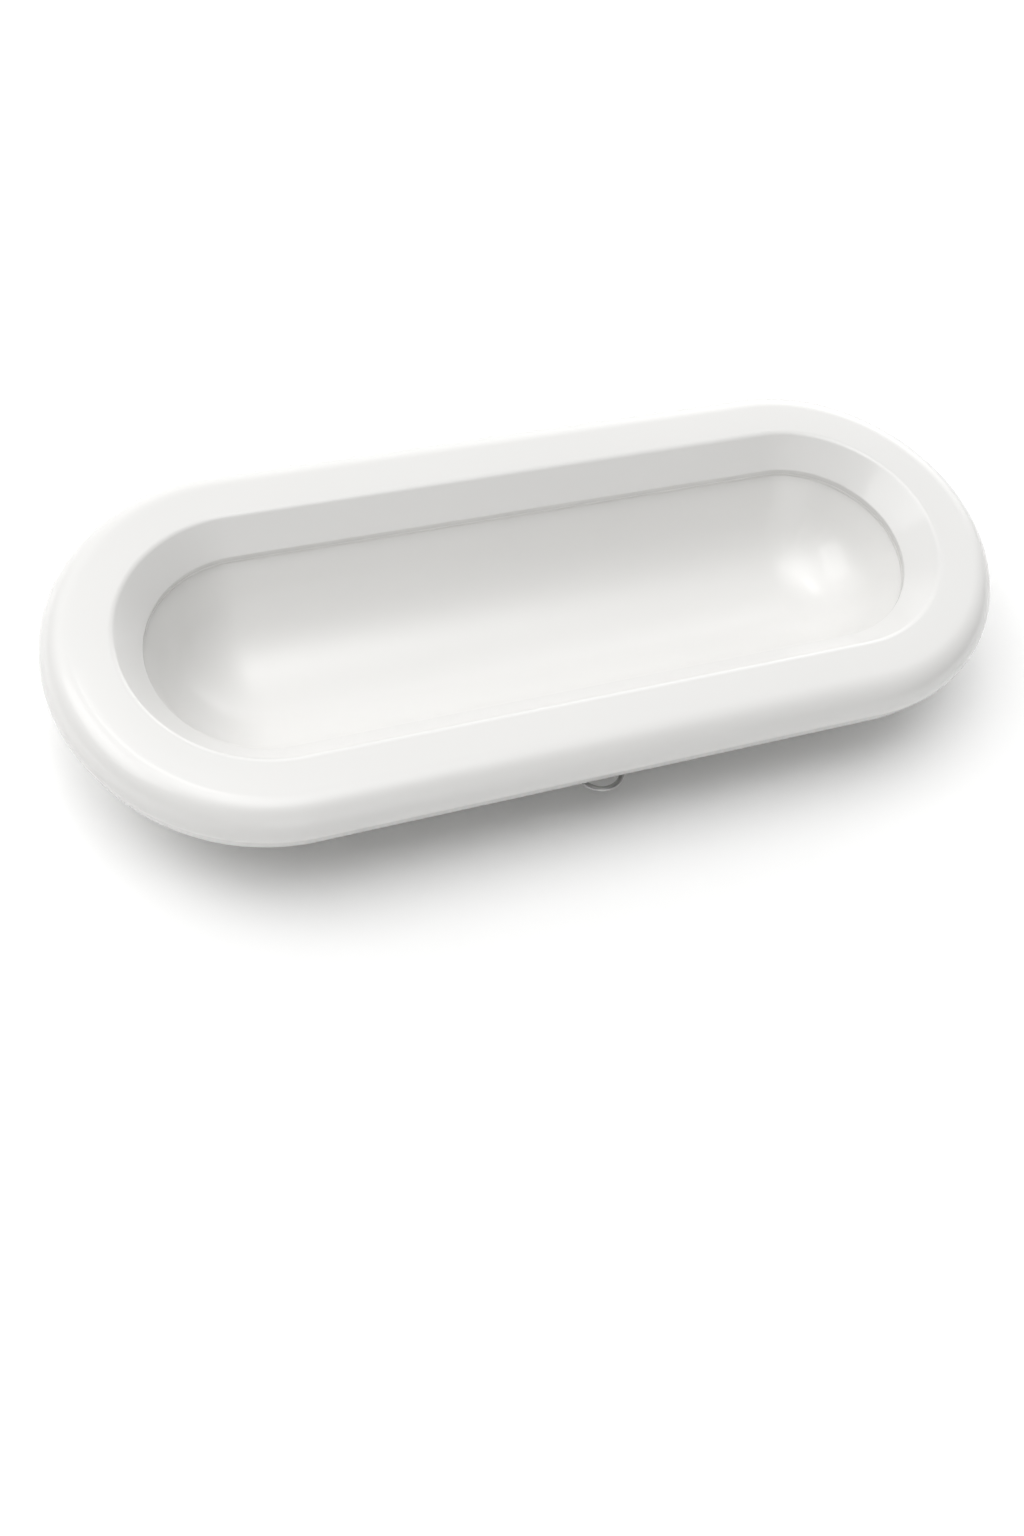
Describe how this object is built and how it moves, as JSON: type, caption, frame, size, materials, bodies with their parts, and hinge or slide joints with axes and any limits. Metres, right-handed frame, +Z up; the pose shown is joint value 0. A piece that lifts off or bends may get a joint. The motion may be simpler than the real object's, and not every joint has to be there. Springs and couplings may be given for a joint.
{
  "type": "bedpan",
  "caption": "Long capsule-shaped bedpan with a wide hollow rim, a suspended bowl, rubber foot pads and a small hanging ring under the front.",
  "frame": {"origin": "on the surface the pan stands on, under the middle of the pan", "axes": "+X along the pan's length, +Z up, -Y towards the long side that carries the hanging ring"},
  "size_m": [0.4028, 0.165, 0.054],
  "materials": {
    "rim_white": "smooth gloss, moulded",
    "bowl_white": "smooth gloss, moulded",
    "seal_silicone": "satin silicone",
    "pad_rubber": "matt rubber",
    "screw_steel": "passivated stainless steel",
    "ring_steel": "satin stainless wire"
  },
  "bodies": {
    "pan": {"rim_shell": "rim_white", "bowl": "bowl_white", "under_rim": "rim_white", "bowl_gasket": "seal_silicone", "skirt_seal": "seal_silicone", "rim_screws": "screw_steel", "foot_pad_1": "pad_rubber", "foot_pad_2": "pad_rubber", "foot_pad_3": "pad_rubber", "foot_pad_4": "pad_rubber"},
    "ring": {"hang_ring": "ring_steel"}
  },
  "joints": [
    {"name": "ring_hinge", "type": "hinge", "parent": "pan", "child": "ring", "pos_m": [0, -0.069, 0.023], "axis": [1, 0, 0], "range_deg": [-28, 208]}
  ]
}
